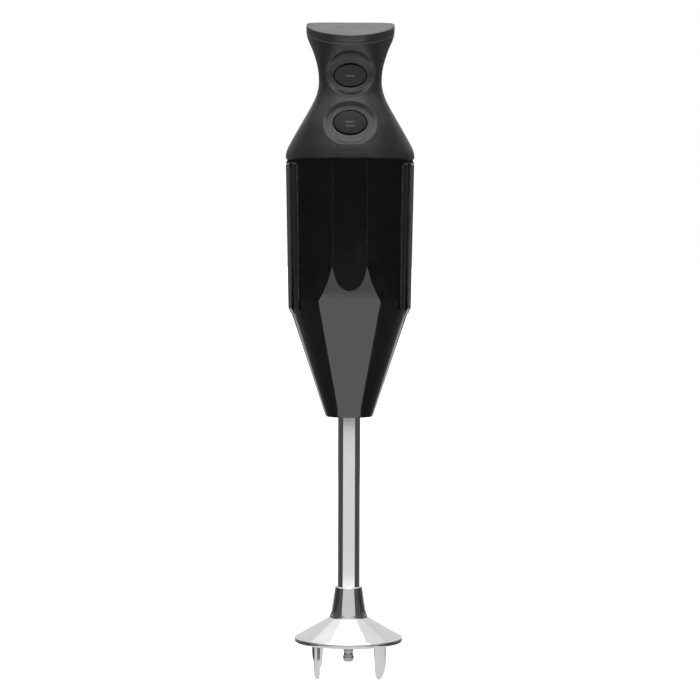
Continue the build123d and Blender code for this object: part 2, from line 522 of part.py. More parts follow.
def button(a, b, z, y_face, y_lip, lean, stem_end, bars):
    body = ellipse_y(a, b, y_face - 3, y_lip + 1.2, z)
    crown = Pos(0, y_face + 42.0, z + lean) * Sphere(42.0)
    body &= crown + box(-20, 20, y_lip, y_lip + 5, z - 20, z + 20)
    try:
        front = [e for e in body.edges() if (e @ 0.5).Y < y_face + 2.0 and e.length > 20]
        body = fillet(front, 0.45)
    except Exception as exc:
        print("button edge left sharp:", exc)
    body += ellipse_y(a + 1.3, b + 1.3, y_lip, y_lip + 1.2, z)
    body += yrod(1.6, y_lip, stem_end, 0, z)
    for dz in bars:
        bar = box(-2.4, 2.4, y_face - 1.0, y_face + 1.2, z + dz - 0.42, z + dz + 0.42)
        bar &= Pos(0, y_face + 42.0, z + lean) * Sphere(42.12)
        body += bar
    return body


HI_FACE, HI_LIP = -16.9, -12.9
LO_FACE, LO_LIP = -26.3, -18.9
GUIDE_Y0, GUIDE_Y1 = -8.2, -7.2
LO_SPRING_Y = -14.6
keep("button_high", button(BTN_HI_A, BTN_HI_B, BTN_HI_Z, HI_FACE, HI_LIP, 0.0, -6.0, (-0.35,)))
keep("button_low", button(BTN_LO_A, BTN_LO_B, BTN_LO_Z, LO_FACE, LO_LIP, -6.0, -6.0, (0.35, -1.65)))
for nm, z in (("high", BTN_HI_Z), ("low", BTN_LO_Z)):
    sw = box(-6.4, 6.4, -4.4, 2.0, z - 3.0, z + 3.0) - yrod(1.15, -5.0, -2.4, 0, z)
    sw += box(-5.6, -4.8, 2.0, 5.2, z - 0.35, z + 0.35) + box(4.8, 5.6, 2.0, 5.2, z - 0.35, z + 0.35)
    keep("microswitch_" + nm, sw)
    keep("switch_plunger_" + nm, yrod(1.05, -6.0, -4.1, 0, z))

board = box(-11.0, 11.0, 2.0, 3.6, 276.6, 320.4)
for z in (BTN_HI_Z, BTN_LO_Z):
    board -= box(-5.6, -4.8, 1.0, 5.0, z - 0.35, z + 0.35) + box(4.8, 5.6, 1.0, 5.0, z - 0.35, z + 0.35)
for bx, bz in ((-6.8, 279.9), (6.8, 279.9), (-6.8, 317.3), (6.8, 317.3)):
    board -= yrod(1.25, 1.0, 5.0, bx, bz)
keep("circuit_board", board)
carrier = box(-10.4, 10.4, GUIDE_Y0, GUIDE_Y1, 278.5, 319.8)
carrier += box(-10.4, -9.2, GUIDE_Y0, 2.0, 278.5, 319.8) + box(9.2, 10.4, GUIDE_Y0, 2.0, 278.5, 319.8)
carrier += yrod(4.0, LO_SPRING_Y, GUIDE_Y1, 0, BTN_LO_Z)
carrier -= yrod(1.75, -20, -5, 0, BTN_LO_Z) + yrod(1.75, -20, -5, 0, BTN_HI_Z)
carrier -= box(-7.5, 7.5, GUIDE_Y0 - 1, GUIDE_Y1 + 1, 293.5, 302.5)
keep("switch_carrier", carrier)
scr = None
for bx, bz in ((-6.8, 279.9), (6.8, 279.9), (-6.8, 317.3), (6.8, 317.3)):
    s = yrod(0.9, 2.0, 9.4, bx, bz) + yrod(1.9, 0.8, 2.0, bx, bz)
    s -= box(bx - 1.2, bx + 1.2, 0.5, 1.3, bz - 0.22, bz + 0.22)
    scr = s if scr is None else scr + s
keep("board_screws", scr)
# return springs, each between its button and the carrier
keep("button_spring_high", Pos(0, HI_LIP + 1.2 + 0.05, BTN_HI_Z) * Rot(-90, 0, 0) * coil(2.6, 0.22, GUIDE_Y0 - HI_LIP - 1.2 - 0.1, 4))
keep("button_spring_low", Pos(0, LO_LIP + 1.2 + 0.05, BTN_LO_Z) * Rot(-90, 0, 0) * coil(2.6, 0.22, LO_SPRING_Y - LO_LIP - 1.2 - 0.1, 3))
keep("suppression_capacitor", fillet(box(-8.5, 8.5, 3.6, 9.2, 292.5, 305.0).edges(), 0.8))
keep("speed_diode", Pos(0, 4.95, 288.4) * Rot(0, 90, 0) * (Cylinder(1.35, 5.2) + Cylinder(0.35, 10.0)))
# cable inlet bush, clamp bar and its screws
gl = yrod(5.6, 6.4, 11.6, 0, GLAND_Z) + yrod(7.4, 11.4, 13.6, 0, GLAND_Z)
try:
    gl = fillet([e for e in gl.edges() if (e @ 0.5).Y > 13.5], 0.8)
except Exception as exc:
    print("gland edge left sharp:", exc)
gl -= yrod(3.5, 5.0, 15.0, 0, GLAND_Z)
keep("cord_gland", gl)
cl = box(-12.0, 12.0, 1.4, 4.0, GLAND_Z - 2.6, GLAND_Z + 2.6) - Pos(0, 4.6, GLAND_Z) * Rot(0, 0, 0) * Cylinder(2.2, 12)
for bx in (-9.6, 9.6):
    cl -= yrod(1.0, 0, 6, bx, GLAND_Z)
keep("cord_clamp", cl)
cs = None
for bx in (-9.6, 9.6):
    s = yrod(0.8, 1.4, 8.8, bx, GLAND_Z) + yrod(1.8, 0.2, 1.4, bx, GLAND_Z)
    s -= box(bx - 1.1, bx + 1.1, -0.2, 0.7, GLAND_Z - 0.2, GLAND_Z + 0.2)
    cs = s if cs is None else cs + s
keep("clamp_screws", cs)

for name, shape in nodes.items():
    export_step(shape, os.path.join("parts", name + ".step"))
print(len(nodes), "nodes")
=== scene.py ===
import json
import math

import bmesh
import bpy
import numpy as np
from mathutils import Matrix, Vector


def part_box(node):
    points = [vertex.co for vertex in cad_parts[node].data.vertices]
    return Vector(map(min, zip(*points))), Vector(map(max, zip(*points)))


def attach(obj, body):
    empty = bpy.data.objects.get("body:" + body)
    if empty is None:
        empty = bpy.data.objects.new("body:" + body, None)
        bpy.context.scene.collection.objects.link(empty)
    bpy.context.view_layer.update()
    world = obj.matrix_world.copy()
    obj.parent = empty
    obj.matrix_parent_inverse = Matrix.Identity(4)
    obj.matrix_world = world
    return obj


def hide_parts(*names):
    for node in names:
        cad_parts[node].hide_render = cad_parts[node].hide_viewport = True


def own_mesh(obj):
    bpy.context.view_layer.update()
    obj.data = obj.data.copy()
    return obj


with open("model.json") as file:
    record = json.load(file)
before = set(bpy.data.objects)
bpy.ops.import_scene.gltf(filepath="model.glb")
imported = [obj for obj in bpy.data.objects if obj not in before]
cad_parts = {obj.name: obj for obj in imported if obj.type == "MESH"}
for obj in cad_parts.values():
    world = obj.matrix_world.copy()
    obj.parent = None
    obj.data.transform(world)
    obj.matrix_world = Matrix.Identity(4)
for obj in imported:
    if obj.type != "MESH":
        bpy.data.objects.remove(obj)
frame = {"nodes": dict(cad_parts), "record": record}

scene = bpy.context.scene
nodes = frame["nodes"]
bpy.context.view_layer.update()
MM = 0.001

# ---------------------------------------------------------------- camera
CAM_DIST, CAM_Z, CAM_PITCH, CAM_ROLL, CAM_LENS = 1.271, 0.2216, 2.3537, 0.195, 125.91
cam_data = bpy.data.cameras.new("camera")
cam_data.lens = CAM_LENS
cam_data.sensor_width = 36.0
cam_data.clip_start, cam_data.clip_end = 0.05, 60.0
cam = bpy.data.objects.new("camera", cam_data)
scene.collection.objects.link(cam)
cam.matrix_world = (Matrix.Translation((0.0003, -CAM_DIST, CAM_Z)) @ Matrix.Rotation(math.radians(90 - CAM_PITCH), 4, "X")
                    @ Matrix.Rotation(math.radians(CAM_ROLL), 4, "Z"))
scene.camera = cam
scene.view_settings.view_transform = "Standard"
scene.view_settings.look = "None"


# ---------------------------------------------------------------- node helpers
class Graph:
    """Small helper that adds nodes and links to a node tree."""

    def __init__(self, tree):
        self.t = tree
        self.n = tree.nodes
        self.l = tree.links

    def new(self, kind, **props):
        node = self.n.new(kind)
        for k, v in props.items():
            setattr(node, k, v)
        return node

    def put(self, socket, value):
        if hasattr(value, "is_output"):
            self.l.new(value, socket)
        else:
            socket.default_value = value

    def math(self, op, a, b=0.0, c=0.0, clamp=False):
        node = self.new("ShaderNodeMath", operation=op, use_clamp=clamp)
        for i, v in enumerate((a, b, c)):
            self.put(node.inputs[i], v)
        return node.outputs[0]

    def vmath(self, op, a, b=(0.0, 0.0, 0.0)):
        node = self.new("ShaderNodeVectorMath", operation=op)
        self.put(node.inputs[0], a)
        self.put(node.inputs[1], b)
        return node.outputs["Value"] if op in ("LENGTH", "DOT_PRODUCT") else node.outputs[0]

    def step(self, x, e0, e1, lo=0.0, hi=1.0):
        """Smooth step of x from lo at e0 to hi at e1."""
        node = self.new("ShaderNodeMapRange", interpolation_type="SMOOTHSTEP")
        self.put(node.inputs["Value"], x)
        for k, v in (("From Min", e0), ("From Max", e1), ("To Min", lo), ("To Max", hi)):
            self.put(node.inputs[k], v)
        return node.outputs[0]

    def ramp(self, x, stops, smooth=False):
        node = self.new("ShaderNodeValToRGB")
        if smooth:
            node.color_ramp.interpolation = "EASE"
        el = node.color_ramp.elements
        while len(el) < len(stops):
            el.new(0.5)
        for e, (p, c) in zip(el, stops):
            e.position = p
            e.color = (c, c, c, 1.0) if isinstance(c, (int, float)) else (*c, 1.0)
        self.put(node.inputs[0], x)
        return node.outputs[0]

    def noise(self, vector, scale, detail=2.0, rough=0.5, dist=0.0):
        node = self.new("ShaderNodeTexNoise")
        self.put(node.inputs["Vector"], vector)
        for k, v in (("Scale", scale), ("Detail", detail), ("Roughness", rough), ("Distortion", dist)):
            self.put(node.inputs[k], v)
        return node.outputs["Fac"]

    def voronoi(self, vector, scale, feature="F1", rand=1.0):
        node = self.new("ShaderNodeTexVoronoi", feature=feature)
        self.put(node.inputs["Vector"], vector)
        self.put(node.inputs["Scale"], scale)
        self.put(node.inputs["Randomness"], rand)
        return node.outputs["Distance"]

    def mix(self, fac, a, b):
        node = self.new("ShaderNodeMix", data_type="RGBA")
        self.put(node.inputs[0], fac)
        self.put(node.inputs[6], a if hasattr(a, "is_output") else (*a, 1.0))
        self.put(node.inputs[7], b if hasattr(b, "is_output") else (*b, 1.0))
        return node.outputs[2]

    def lerp(self, fac, a, b):
        node = self.new("ShaderNodeMix", data_type="FLOAT")
        self.put(node.inputs[0], fac)
        self.put(node.inputs[2], a)
        self.put(node.inputs[3], b)
        return node.outputs[0]

    def scaled(self, vector, sx, sy, sz):
        node = self.new("ShaderNodeMapping")
        self.put(node.inputs["Vector"], vector)
        node.inputs["Scale"].default_value = (sx, sy, sz)
        return node.outputs[0]

    def bump(self, height, strength, distance, normal=None):
        node = self.new("ShaderNodeBump")
        node.inputs["Strength"].default_value = strength
        node.inputs["Distance"].default_value = distance
        self.put(node.inputs["Height"], height)
        if normal is not None:
            self.put(node.inputs["Normal"], normal)
        return node.outputs[0]

    def xyz(self, vector):
        node = self.new("ShaderNodeSeparateXYZ")
        self.put(node.inputs[0], vector)
        return node.outputs[0], node.outputs[1], node.outputs[2]

    def vec(self, x, y, z):
        node = self.new("ShaderNodeCombineXYZ")
        for i, v in enumerate((x, y, z)):
            self.put(node.inputs[i], v)
        return node.outputs[0]


def material(name, metallic=0.0, ior=1.5, specular=0.5, coat=0.0, coat_rough=0.03, coat_ior=1.5, sheen=0.0):
    """A Principled material with its constants set on the shader. Returns (material, graph, shader, object coordinates)."""
    m = bpy.data.materials.new(name)
    m.use_nodes = True
    g = Graph(m.node_tree)
    g.n.clear()
    out = g.new("ShaderNodeOutputMaterial")
    sh = g.new("ShaderNodeBsdfPrincipled")
    g.l.new(sh.outputs[0], out.inputs["Surface"])
    sh.inputs["Metallic"].default_value = metallic
    sh.inputs["IOR"].default_value = ior
    sh.inputs["Specular IOR Level"].default_value = specular
    sh.inputs["Coat Weight"].default_value = coat
    sh.inputs["Coat Roughness"].default_value = coat_rough
    sh.inputs["Coat IOR"].default_value = coat_ior
    sh.inputs["Sheen Weight"].default_value = sheen
    pos = g.new("ShaderNodeTexCoord").outputs["Object"]
    return m, g, sh, pos


def moulded(name, colour, rough, grain=1900.0, grain_depth=0.10, wear=0.10, coat=0.0, coat_rough=0.05, ior=1.5, specular=0.5, edge_light=1.6, bars=(), seam_highlight=False):
    """Moulded plastic: fine eroded grain, slow tone and gloss variation, edges rubbed a little lighter; optional
    painted highlights on the button bars and along the shell's seam edge.
    """
    m, g, sh, pos = material(name, coat=coat, coat_rough=coat_rough, ior=ior, specular=specular)
    slow = g.noise(pos, 45.0, 3.0, 0.55)
    fine = g.noise(pos, grain, 3.0, 0.6)
    cell = g.voronoi(pos, grain * 0.62)
    dust = g.noise(pos, grain * 0.35, 2.0, 0.7)
    c0 = tuple(c * 0.90 for c in colour)
    c1 = tuple(c * 1.12 for c in colour)
    base = g.mix(g.step(slow, 0.35, 0.65), c0, c1)
    base = g.mix(g.step(dust, 0.60, 0.80, 0.0, 0.22), base, tuple(min(1.0, c * 1.9 + 0.004) for c in colour))
    geo = g.new("ShaderNodeNewGeometry")
    edge = g.step(geo.outputs["Pointiness"], 0.53, 0.60, 0.0, wear * 4)
    edge = g.math("MULTIPLY", edge, g.step(g.noise(pos, 420.0, 3.0, 0.6), 0.35, 0.6))
    base = g.mix(edge, base, tuple(min(1.0, c * edge_light + 0.01) for c in colour))
    if bars:
        # painted highlight: the raised bars on the buttons are coloured lighter in place of the light they catch
        px, py, pz = g.xyz(pos)
        bar_highlight = 0.0
        for zc in bars:
            near_bar = g.step(g.math("ABSOLUTE", g.math("SUBTRACT", pz, zc)), 0.00036, 0.00050, 1.0, 0.0)
            bar_highlight = g.math("MAXIMUM", bar_highlight, near_bar)
        bar_highlight = g.math("MULTIPLY", bar_highlight, g.step(g.math("ABSOLUTE", px), 0.00232, 0.00248, 1.0, 0.0))
        base = g.mix(bar_highlight, base, (0.115, 0.115, 0.118))
    if seam_highlight:
        # painted highlight: a light line on the shell's upper edge just under the cap, in place of the light the edge
        # catches
        px, py, pz = g.xyz(pos)
        drop = g.math("SUBTRACT", g.math("SUBTRACT", 0.33684, g.math("MULTIPLY", py, -0.26328)), pz)
        seam_glint = g.step(g.math("ABSOLUTE", g.math("SUBTRACT", drop, 0.00460)), 0.00022, 0.00042, 1.0, 0.0)
        seam_glint = g.math("MULTIPLY", seam_glint, g.step(g.noise(pos, 240.0, 3.0, 0.6), 0.25, 0.55, 0.55, 1.0))
        base = g.mix(seam_glint, base, (0.125, 0.125, 0.128))
    g.put(sh.inputs["Base Color"], base)
    rubbed = g.noise(pos, 70.0, 2.0, 0.5, 0.6)
    r = g.lerp(g.step(rubbed, 0.35, 0.7), rough * 0.90, rough * 1.12)
    r = g.math("ADD", r, g.math("MULTIPLY", g.math("SUBTRACT", fine, 0.5), 0.10), clamp=True)
    g.put(sh.inputs["Roughness"], r)
    h = g.math("ADD", fine, g.math("MULTIPLY", cell, 0.6))
    g.put(sh.inputs["Normal"], g.bump(h, grain_depth, 0.00012))
    return m


def gloss_black(name, colour):
    """High-gloss black moulding: faint orange peel, wipe marks in the gloss, hairline scratches."""
    m, g, sh, pos = material(name, ior=1.5, specular=0.5, coat=0.85, coat_rough=0.025, coat_ior=1.5)
    slow = g.noise(pos, 30.0, 2.0, 0.5)
    base = g.mix(g.step(slow, 0.3, 0.7), tuple(c * 0.85 for c in colour), tuple(c * 1.15 for c in colour))
    speck = g.step(g.noise(pos, 2600.0, 1.0, 0.5), 0.70, 0.78, 0.0, 0.25)
    base = g.mix(speck, base, (0.03, 0.03, 0.032))
    # painted highlights: light lines on the two edges of the front strip and on both edges of the grip ribs, broken up
    # by noise like rubbed wear
    px, py, pz = g.xyz(pos)
    ax = g.math("ABSOLUTE", px)
    highlight_wear_breakup = g.step(g.noise(pos, 300.0, 3.0, 0.6), 0.25, 0.60, 0.45, 1.0)
    strip = g.step(g.math("ABSOLUTE", g.math("SUBTRACT", ax, 0.00882)), 0.00012, 0.00030, 1.0, 0.0)
    strip = g.math("MULTIPLY", strip, g.math("MULTIPLY", g.step(py, -0.027, -0.025, 1.0, 0.0), g.step(pz, 0.2040, 0.2075)))
    base = g.mix(g.math("MULTIPLY", strip, highlight_wear_breakup), base, (0.020, 0.020, 0.021))
    round_x = g.math("MULTIPLY", g.math("ARCTAN2", py, ax), 180 / math.pi)
    off = g.math("SUBTRACT", g.math("FRACT", g.math("ADD", g.math("MULTIPLY", round_x, 1 / 15.25), 10.5)), 0.5)
    off = g.math("MULTIPLY", g.math("ABSOLUTE", off), 15.25)
    rib_highlight = g.step(g.math("ABSOLUTE", g.math("SUBTRACT", off, 4.25)), 0.22, 0.55, 1.0, 0.0)
    rib_highlight = g.math("MULTIPLY", rib_highlight, g.step(g.math("ABSOLUTE", round_x), 36.5, 37.0, 1.0, 0.0))
    crest = g.step(g.vmath("LENGTH", g.vec(px, py, 0.0)), 0.0312, 0.0319)
    rib_highlight = g.math("MULTIPLY", g.math("MULTIPLY", rib_highlight, crest), g.math("MULTIPLY", g.step(pz, 0.1920, 0.1945), g.step(pz, 0.2640, 0.2655, 1.0, 0.0)))
    base = g.mix(g.math("MULTIPLY", rib_highlight, highlight_wear_breakup), base, (0.060, 0.060, 0.062))
    g.put(sh.inputs["Base Color"], base)
    wipe = g.noise(g.scaled(pos, 1.0, 1.0, 0.35), 160.0, 4.0, 0.6, 0.4)
    # the parting edge at the top is made dull (rough, no coat), and a dark specular tint darkens its reflection there:
    # painted shade that hides a glint
    dull = g.step(pz, 0.26610, 0.26632)
    g.put(sh.inputs["Specular Tint"], g.mix(dull, (1.0, 1.0, 1.0), (0.08, 0.08, 0.08)))
    g.put(sh.inputs["Roughness"], g.lerp(dull, g.lerp(g.step(wipe, 0.35, 0.75), 0.10, 0.17), 0.85))
    g.put(sh.inputs["Coat Weight"], g.lerp(dull, 0.85, 0.0))
    peel = g.noise(pos, 260.0, 2.0, 0.5)
    scratch = g.noise(g.scaled(pos, 1.0, 1.0, 0.06), 3400.0, 2.0, 0.6)
    h = g.math("ADD", g.math("MULTIPLY", peel, 1.0), g.math("MULTIPLY", g.step(scratch, 0.72, 0.80), 0.12))
    g.put(sh.inputs["Normal"], g.bump(h, 0.030, 0.00010))
    g.put(sh.inputs["Coat Normal"], g.bump(h, 0.012, 0.00010))
    return m


def polished(name, tint, rough, turned=0.02, ring=True, freq=2600.0):
    """Polished stainless steel: fine turning or polishing lines, slight smears in the gloss."""
    m, g, sh, pos = material(name, metallic=1.0)
    x, y, z = g.xyz(pos)
    r = g.vmath("LENGTH", g.vec(x, y, 0.0))
    lines = g.noise(g.vec(r, 0.0, z) if ring else g.scaled(pos, 1.0, 1.0, 0.02), freq, 3.0, 0.65)
    smear = g.noise(pos, 110.0, 3.0, 0.55, 0.5)
    spots = g.noise(pos, 900.0, 2.0, 0.5)
    c = g.mix(g.step(smear, 0.3, 0.7), tuple(t * 0.97 for t in tint), tuple(min(1.0, t * 1.02) for t in tint))
    g.put(sh.inputs["Base Color"], c)
    rr = g.lerp(g.step(smear, 0.4, 0.75), rough, rough * 1.5)
    rr = g.math("ADD", rr, g.math("MULTIPLY", g.math("SUBTRACT", spots, 0.5), rough * 0.35), clamp=True)
    g.put(sh.inputs["Roughness"], rr)
    g.put(sh.inputs["Normal"], g.bump(g.math("ADD", lines, g.math("MULTIPLY", spots, 0.3)), turned, 0.00004))
    return m


def metal(name, tint, rough, tint2=None, freq=1500.0, bump=0.10, stretch=(1.0, 1.0, 1.0), layers=None):
    """Worked metal: drawn, turned, plated or laminated, with tarnish and tool marks."""
    m, g, sh, pos = material(name, metallic=1.0)
    p = g.scaled(pos, *stretch)
    lines = g.noise(p, freq, 3.0, 0.6)
    tarnish = g.noise(pos, 180.0, 4.0, 0.6)
    c = g.mix(g.step(tarnish, 0.42, 0.72), tint, tint2 or tuple(t * 0.72 for t in tint))
    h = lines
    if layers:
        z = g.xyz(pos)[2]
        saw = g.math("FRACT", g.math("MULTIPLY", z, 1.0 / layers))
        gap = g.math("SUBTRACT", 1.0, g.step(g.math("ABSOLUTE", g.math("SUBTRACT", saw, 0.5)), 0.36, 0.48))
        c = g.mix(g.math("SUBTRACT", 1.0, gap), c, tuple(t * 0.35 for t in tint))
        h = g.math("ADD", g.math("MULTIPLY", lines, 0.3), gap)
    g.put(sh.inputs["Base Color"], c)
    g.put(sh.inputs["Roughness"], g.lerp(tarnish, rough * 0.8, rough * 1.3))
    g.put(sh.inputs["Normal"], g.bump(h, bump, 0.00010))
    return m


def windings(name):
    """Enamelled copper wire: fine parallel strands under varnish."""
    m, g, sh, pos = material(name, metallic=0.85, coat=0.6, coat_rough=0.15)
    w = g.new("ShaderNodeTexWave", wave_type="BANDS", bands_direction="Z")
    g.put(w.inputs["Vector"], g.scaled(pos, 1.0, 1.0, 1.0))
    w.inputs["Scale"].default_value = 620.0
    w.inputs["Distortion"].default_value = 1.6
    w.inputs["Detail"].default_value = 2.0
    w.inputs["Detail Scale"].default_value = 2.0
    n = g.noise(pos, 260.0, 3.0, 0.6)
    c = g.mix(g.step(n, 0.4, 0.7), (0.62, 0.25, 0.10), (0.38, 0.13, 0.05))
    # painted shade: the grooves between the strands are coloured dark
    c = g.mix(g.step(w.outputs["Fac"], 0.0, 0.3, 1.0, 0.0), c, (0.10, 0.03, 0.015))
    g.put(sh.inputs["Base Color"], c)
    g.put(sh.inputs["Roughness"], g.lerp(n, 0.25, 0.40))
    g.put(sh.inputs["Normal"], g.bump(w.outputs["Fac"], 0.5, 0.0002))
    return m


def board_mat(name):
    """Coated circuit board: green resist over a woven core, copper tracks just showing through."""
    m, g, sh, pos = material(name, coat=0.4, coat_rough=0.2)
    x, y, z = g.xyz(pos)
    track = g.voronoi(g.vec(g.math("SNAP", x, 0.0011), 0.0, g.math("SNAP", z, 0.0009)), 420.0)
    weave = g.math("MULTIPLY", g.math("SINE", g.math("MULTIPLY", x, 9000.0)), g.math("SINE", g.math("MULTIPLY", z, 9000.0)))
    c = g.mix(g.step(track, 0.30, 0.34), (0.02, 0.13, 0.055), (0.035, 0.20, 0.08))
    c = g.mix(g.step(g.noise(pos, 90.0, 2.0), 0.4, 0.7, 0.0, 0.35), c, (0.015, 0.09, 0.04))
    g.put(sh.inputs["Base Color"], c)
    g.put(sh.inputs["Roughness"], g.lerp(g.noise(pos, 500.0, 2.0), 0.32, 0.48))
    g.put(sh.inputs["Normal"], g.bump(g.math("ADD", g.math("MULTIPLY", weave, 0.3), g.step(track, 0.30, 0.34)), 0.15, 0.00008))
    return m


def rubber(name, colour):
    """Soft moulded rubber: dull, mottled, with a light bloom."""
    m, g, sh, pos = material(name, sheen=0.15, specular=0.35)
    bloom = g.noise(pos, 130.0, 4.0, 0.6)
    fine = g.noise(pos, 2400.0, 2.0, 0.6)
    c = g.mix(g.step(bloom, 0.4, 0.75), colour, tuple(c * 1.5 + 0.006 for c in colour))
    g.put(sh.inputs["Base Color"], c)
    g.put(sh.inputs["Roughness"], g.lerp(bloom, 0.62, 0.80))
    g.put(sh.inputs["Normal"], g.bump(fine, 0.18, 0.00010))
    return m


GREY = (0.036, 0.0362, 0.0375)
mats = {
    "handle_grey": moulded("handle_grey", GREY, 0.32, grain=1700.0, grain_depth=0.08, specular=0.42, seam_highlight=True),
    "cap_grey": moulded("cap_grey", (0.046, 0.0462, 0.0475), 0.32, grain=1500.0, grain_depth=0.06),
    "button_grey": moulded("button_grey", (0.020, 0.020, 0.021), 0.42, grain=1900.0, grain_depth=0.10, bars=(0.31005, 0.28625, 0.28425)),
    "housing_black": gloss_black("housing_black", (0.0045, 0.0045, 0.0050)),
    "steel_polished": polished("steel_polished", (0.80, 0.80, 0.81), 0.055, turned=0.03),
    "steel_turned": polished("steel_turned", (0.50, 0.497, 0.49), 0.20, turned=0.22, freq=3200.0),
    "steel_zinc": metal("steel_zinc", (0.62, 0.63, 0.66), 0.32, (0.50, 0.50, 0.48), freq=1200.0),
    "lamination": metal("lamination", (0.30, 0.30, 0.32), 0.45, (0.20, 0.17, 0.14), layers=0.0005, bump=0.4),
    "copper": windings("copper"),
    "bronze": metal("bronze", (0.55, 0.38, 0.20), 0.42, (0.36, 0.24, 0.12), freq=2600.0, bump=0.25),
    "rubber_black": rubber("rubber_black", (0.020, 0.020, 0.021)),
    "frame_plastic": moulded("frame_plastic", (0.56, 0.55, 0.50), 0.50, grain=1400.0, grain_depth=0.15, edge_light=1.1),
    "coupling_plastic": moulded("coupling_plastic", (0.42, 0.06, 0.04), 0.42, grain=1500.0, grain_depth=0.12, edge_light=1.3),
    "fan_plastic": moulded("fan_plastic", (0.045, 0.045, 0.050), 0.45, grain=1600.0, grain_depth=0.12),
    "board_green": board_mat("board_green"),
    "capacitor_yellow": moulded("capacitor_yellow", (0.62, 0.42, 0.06), 0.25, grain=900.0, grain_depth=0.06, coat=0.3, edge_light=1.2),
    "switch_black": moulded("switch_black", (0.016, 0.016, 0.017), 0.40, grain=1700.0, grain_depth=0.10),
    "graphite": metal("graphite", (0.10, 0.10, 0.105), 0.55, (0.05, 0.05, 0.05), freq=3000.0, bump=0.2),
}

slot_of = {s["node"]: s["material_slot"] for s in frame["record"]["subparts"]}
for name, ob in nodes.items():
    ob.data.materials.clear()
    ob.data.materials.append(mats[slot_of[name]])


# ---------------------------------------------------------------- mesh helpers
def make_object(name, verts, faces, mat, smooth_angle=38.0):
    me = bpy.data.meshes.new(name)
    me.from_pydata([tuple(v) for v in verts], [], faces)
    me.update()
    ob = bpy.data.objects.new(name, me)
    scene.collection.objects.link(ob)
    me.materials.append(mat)
    soften(me, smooth_angle)
    return ob


def soften(me, angle):
    me.polygons.foreach_set("use_smooth", [True] * len(me.polygons))
    me.set_sharp_from_angle(angle=math.radians(angle))


def ring_faces(n_rows, n, closed=False):
    """Quads between successive rings of n points; closed joins the last ring to the first."""
    faces = []
    for i in range(n_rows if closed else n_rows - 1):
        a, b = i * n, ((i + 1) % n_rows) * n
        for j in range(n):
            k = (j + 1) % n
            faces.append((a + j, a + k, b + k, b + j))
    return faces


def fix_normals(ob):
    bm = bmesh.new()
    bm.from_mesh(ob.data)
    bmesh.ops.recalc_face_normals(bm, faces=bm.faces)
    bm.to_mesh(ob.data)
    bm.free()
    ob.data.update()


def apply_boolean(ob, cutter, operation="DIFFERENCE"):
    mod = ob.modifiers.new("cut", "BOOLEAN")
    mod.operation = operation
    mod.solver = "EXACT"
    mod.object = cutter
    dg = bpy.context.evaluated_depsgraph_get()
    dg.update()
    me = bpy.data.meshes.new_from_object(ob.evaluated_get(dg), depsgraph=dg)
    ob.modifiers.clear()
    old = ob.data
    ob.data = me
    bpy.data.meshes.remove(old)
    bpy.data.objects.remove(cutter)


# ---------------------------------------------------------------- handle: the same sections as the CAD loft
TOP_Z, TOP_SLANT, CAP_T, CAP_BACK_Y, SEAM_Z = 340.0, 14.75, 4.2, 12.0, 268.2
HANDLE = [
    (266.0, 33.55, 33.55, 33.55, 2.0, 2.0, 0.0), (268.2, 33.35, 33.35, 33.35, 2.0, 2.0, 0.0),
    (271.5, 33.05, 33.0, 32.8, 2.02, 2.0, 0.0), (274.8, 31.80, 31.9, 31.2, 2.08, 2.05, 0.0),
    (280.1, 28.90, 29.3, 27.8, 2.3, 2.15, 0.0), (285.3, 25.91, 26.6, 24.3, 2.6, 2.3, 0.0),
    (290.5, 22.86, 23.7, 20.9, 2.9, 2.5, 0.0), (295.7, 19.92, 20.9, 17.9, 3.2, 2.7, 0.0),
    (300.9, 17.55, 18.6, 15.5, 3.4, 2.85, 0.0), (306.1, 16.38, 17.5, 13.9, 3.5, 3.0, 0.0),
    (311.3, 16.40, 17.5, 13.0, 3.5, 3.1, 0.2), (316.6, 17.19, 18.9, 12.5, 3.1, 3.3, 1.3),
    (321.2, 18.49, 21.6, 12.2, 2.6, 3.5, 3.2), (325.4, 19.93, 24.6, 12.05, 2.15, 3.8, 4.9),
    (329.6, 21.75, 26.5, 12.0, 1.95, 4.2, 5.8), (333.5, 22.85, 27.1, 12.0, 1.9, 4.5, 6.0),
    (338.0, 22.9, 27.1, 12.0, 1.9, 4.5, 6.0), (343.0, 22.9, 27.1, 12.0, 1.9, 4.5, 6.0),
]
TAB = np.array(HANDLE)


def natural_spline(xs, ys):
    """Second derivatives of the natural cubic spline through the points."""
    n = len(xs)
    h = np.diff(xs)
    A = np.zeros((n, n))
    r = np.zeros(n)
    A[0, 0] = A[-1, -1] = 1
    for i in range(1, n - 1):
        A[i, i - 1], A[i, i], A[i, i + 1] = h[i - 1], 2 * (h[i - 1] + h[i]), h[i]
        r[i] = 6 * ((ys[i + 1] - ys[i]) / h[i] - (ys[i] - ys[i - 1]) / h[i - 1])
    return np.linalg.solve(A, r)


SPL = [natural_spline(TAB[:, 0], TAB[:, k]) for k in range(1, 7)]


def handle_param(z):
    z = np.clip(np.asarray(z, float), TAB[0, 0], TAB[-1, 0])
    i = np.clip(np.searchsorted(TAB[:, 0], z, side="right") - 1, 0, len(TAB) - 2)
    h = TAB[i + 1, 0] - TAB[i, 0]
    A = (TAB[i + 1, 0] - z) / h
    B = 1 - A
    return [A * TAB[i, k + 1] + B * TAB[i + 1, k + 1] + ((A ** 3 - A) * m[i] + (B ** 3 - B) * m[i + 1]) * h * h / 6 for k, m in enumerate(SPL)]


def section_xy(z, t, inset=0.0):
    a, f, b, nf, nb, yc = handle_param(z)
    c, s = np.cos(t), np.sin(t)
    m = np.where(s > 0, nb, nf)
    depth = np.where(s > 0, b - yc, f + yc) - inset
    k = (np.abs(c) ** m + np.abs(s) ** m) ** (-1.0 / m)
    return (a - inset) * c * k, yc + depth * s * k


def slant_z(y, drop=0.0):
    return TOP_Z - (CAP_BACK_Y - y) * math.tan(math.radians(TOP_SLANT)) - drop


